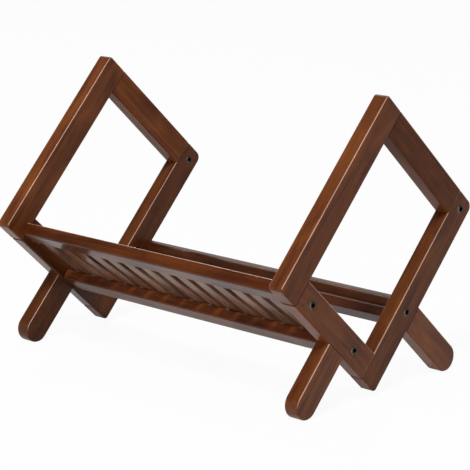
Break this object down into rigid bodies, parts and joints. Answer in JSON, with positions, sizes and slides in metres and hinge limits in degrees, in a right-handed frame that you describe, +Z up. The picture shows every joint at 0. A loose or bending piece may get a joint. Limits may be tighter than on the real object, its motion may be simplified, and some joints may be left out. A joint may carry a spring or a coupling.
{
  "type": "desktop book rack",
  "caption": "Desktop shelf for books: square end frames stand on their corners on splayed feet and carry a slanted slatted seat and a back rail, in dark stained wood.",
  "frame": {"origin": "on the surface that the rack stands on, under the middle of its box", "axes": "+X along the rack towards its right end frame, +Y to the back, +Z up; the front is at -Y"},
  "size_m": [0.4492, 0.3208, 0.3303],
  "materials": {
    "frame_wood": "walnut-stained hardwood under satin to gloss lacquer",
    "seat_wood": "walnut-stained hardwood under satin to gloss lacquer",
    "dowel_wood": "bare beech",
    "bronzed_steel": "dark bronze plating",
    "zinc_plated_steel": "zinc plating"
  },
  "bodies": {
    "root": {"back_rail": "frame_wood", "back_rail_dowels": "dowel_wood", "left_barrel_nuts": "bronzed_steel", "left_bottom_rail": "frame_wood", "left_connector_studs": "zinc_plated_steel", "left_frame_dowels": "dowel_wood", "left_front_foot": "frame_wood", "left_front_post": "frame_wood", "left_rear_foot": "frame_wood", "left_rear_post": "frame_wood", "left_top_rail": "frame_wood", "right_barrel_nuts": "bronzed_steel", "right_bottom_rail": "frame_wood", "right_connector_studs": "zinc_plated_steel", "right_frame_dowels": "dowel_wood", "right_front_foot": "frame_wood", "right_front_post": "frame_wood", "right_rear_foot": "frame_wood", "right_rear_post": "frame_wood", "right_top_rail": "frame_wood", "seat_batten": "seat_wood", "seat_dowels": "dowel_wood", "seat_front_rail": "seat_wood", "seat_slat_01": "seat_wood", "seat_slat_02": "seat_wood", "seat_slat_03": "seat_wood", "seat_slat_04": "seat_wood", "seat_slat_05": "seat_wood", "seat_slat_06": "seat_wood", "seat_slat_07": "seat_wood", "seat_slat_08": "seat_wood", "seat_slat_09": "seat_wood", "seat_slat_10": "seat_wood", "seat_slat_11": "seat_wood", "seat_slat_12": "seat_wood", "seat_slat_13": "seat_wood", "seat_slat_14": "seat_wood"}
  },
  "joints": []
}
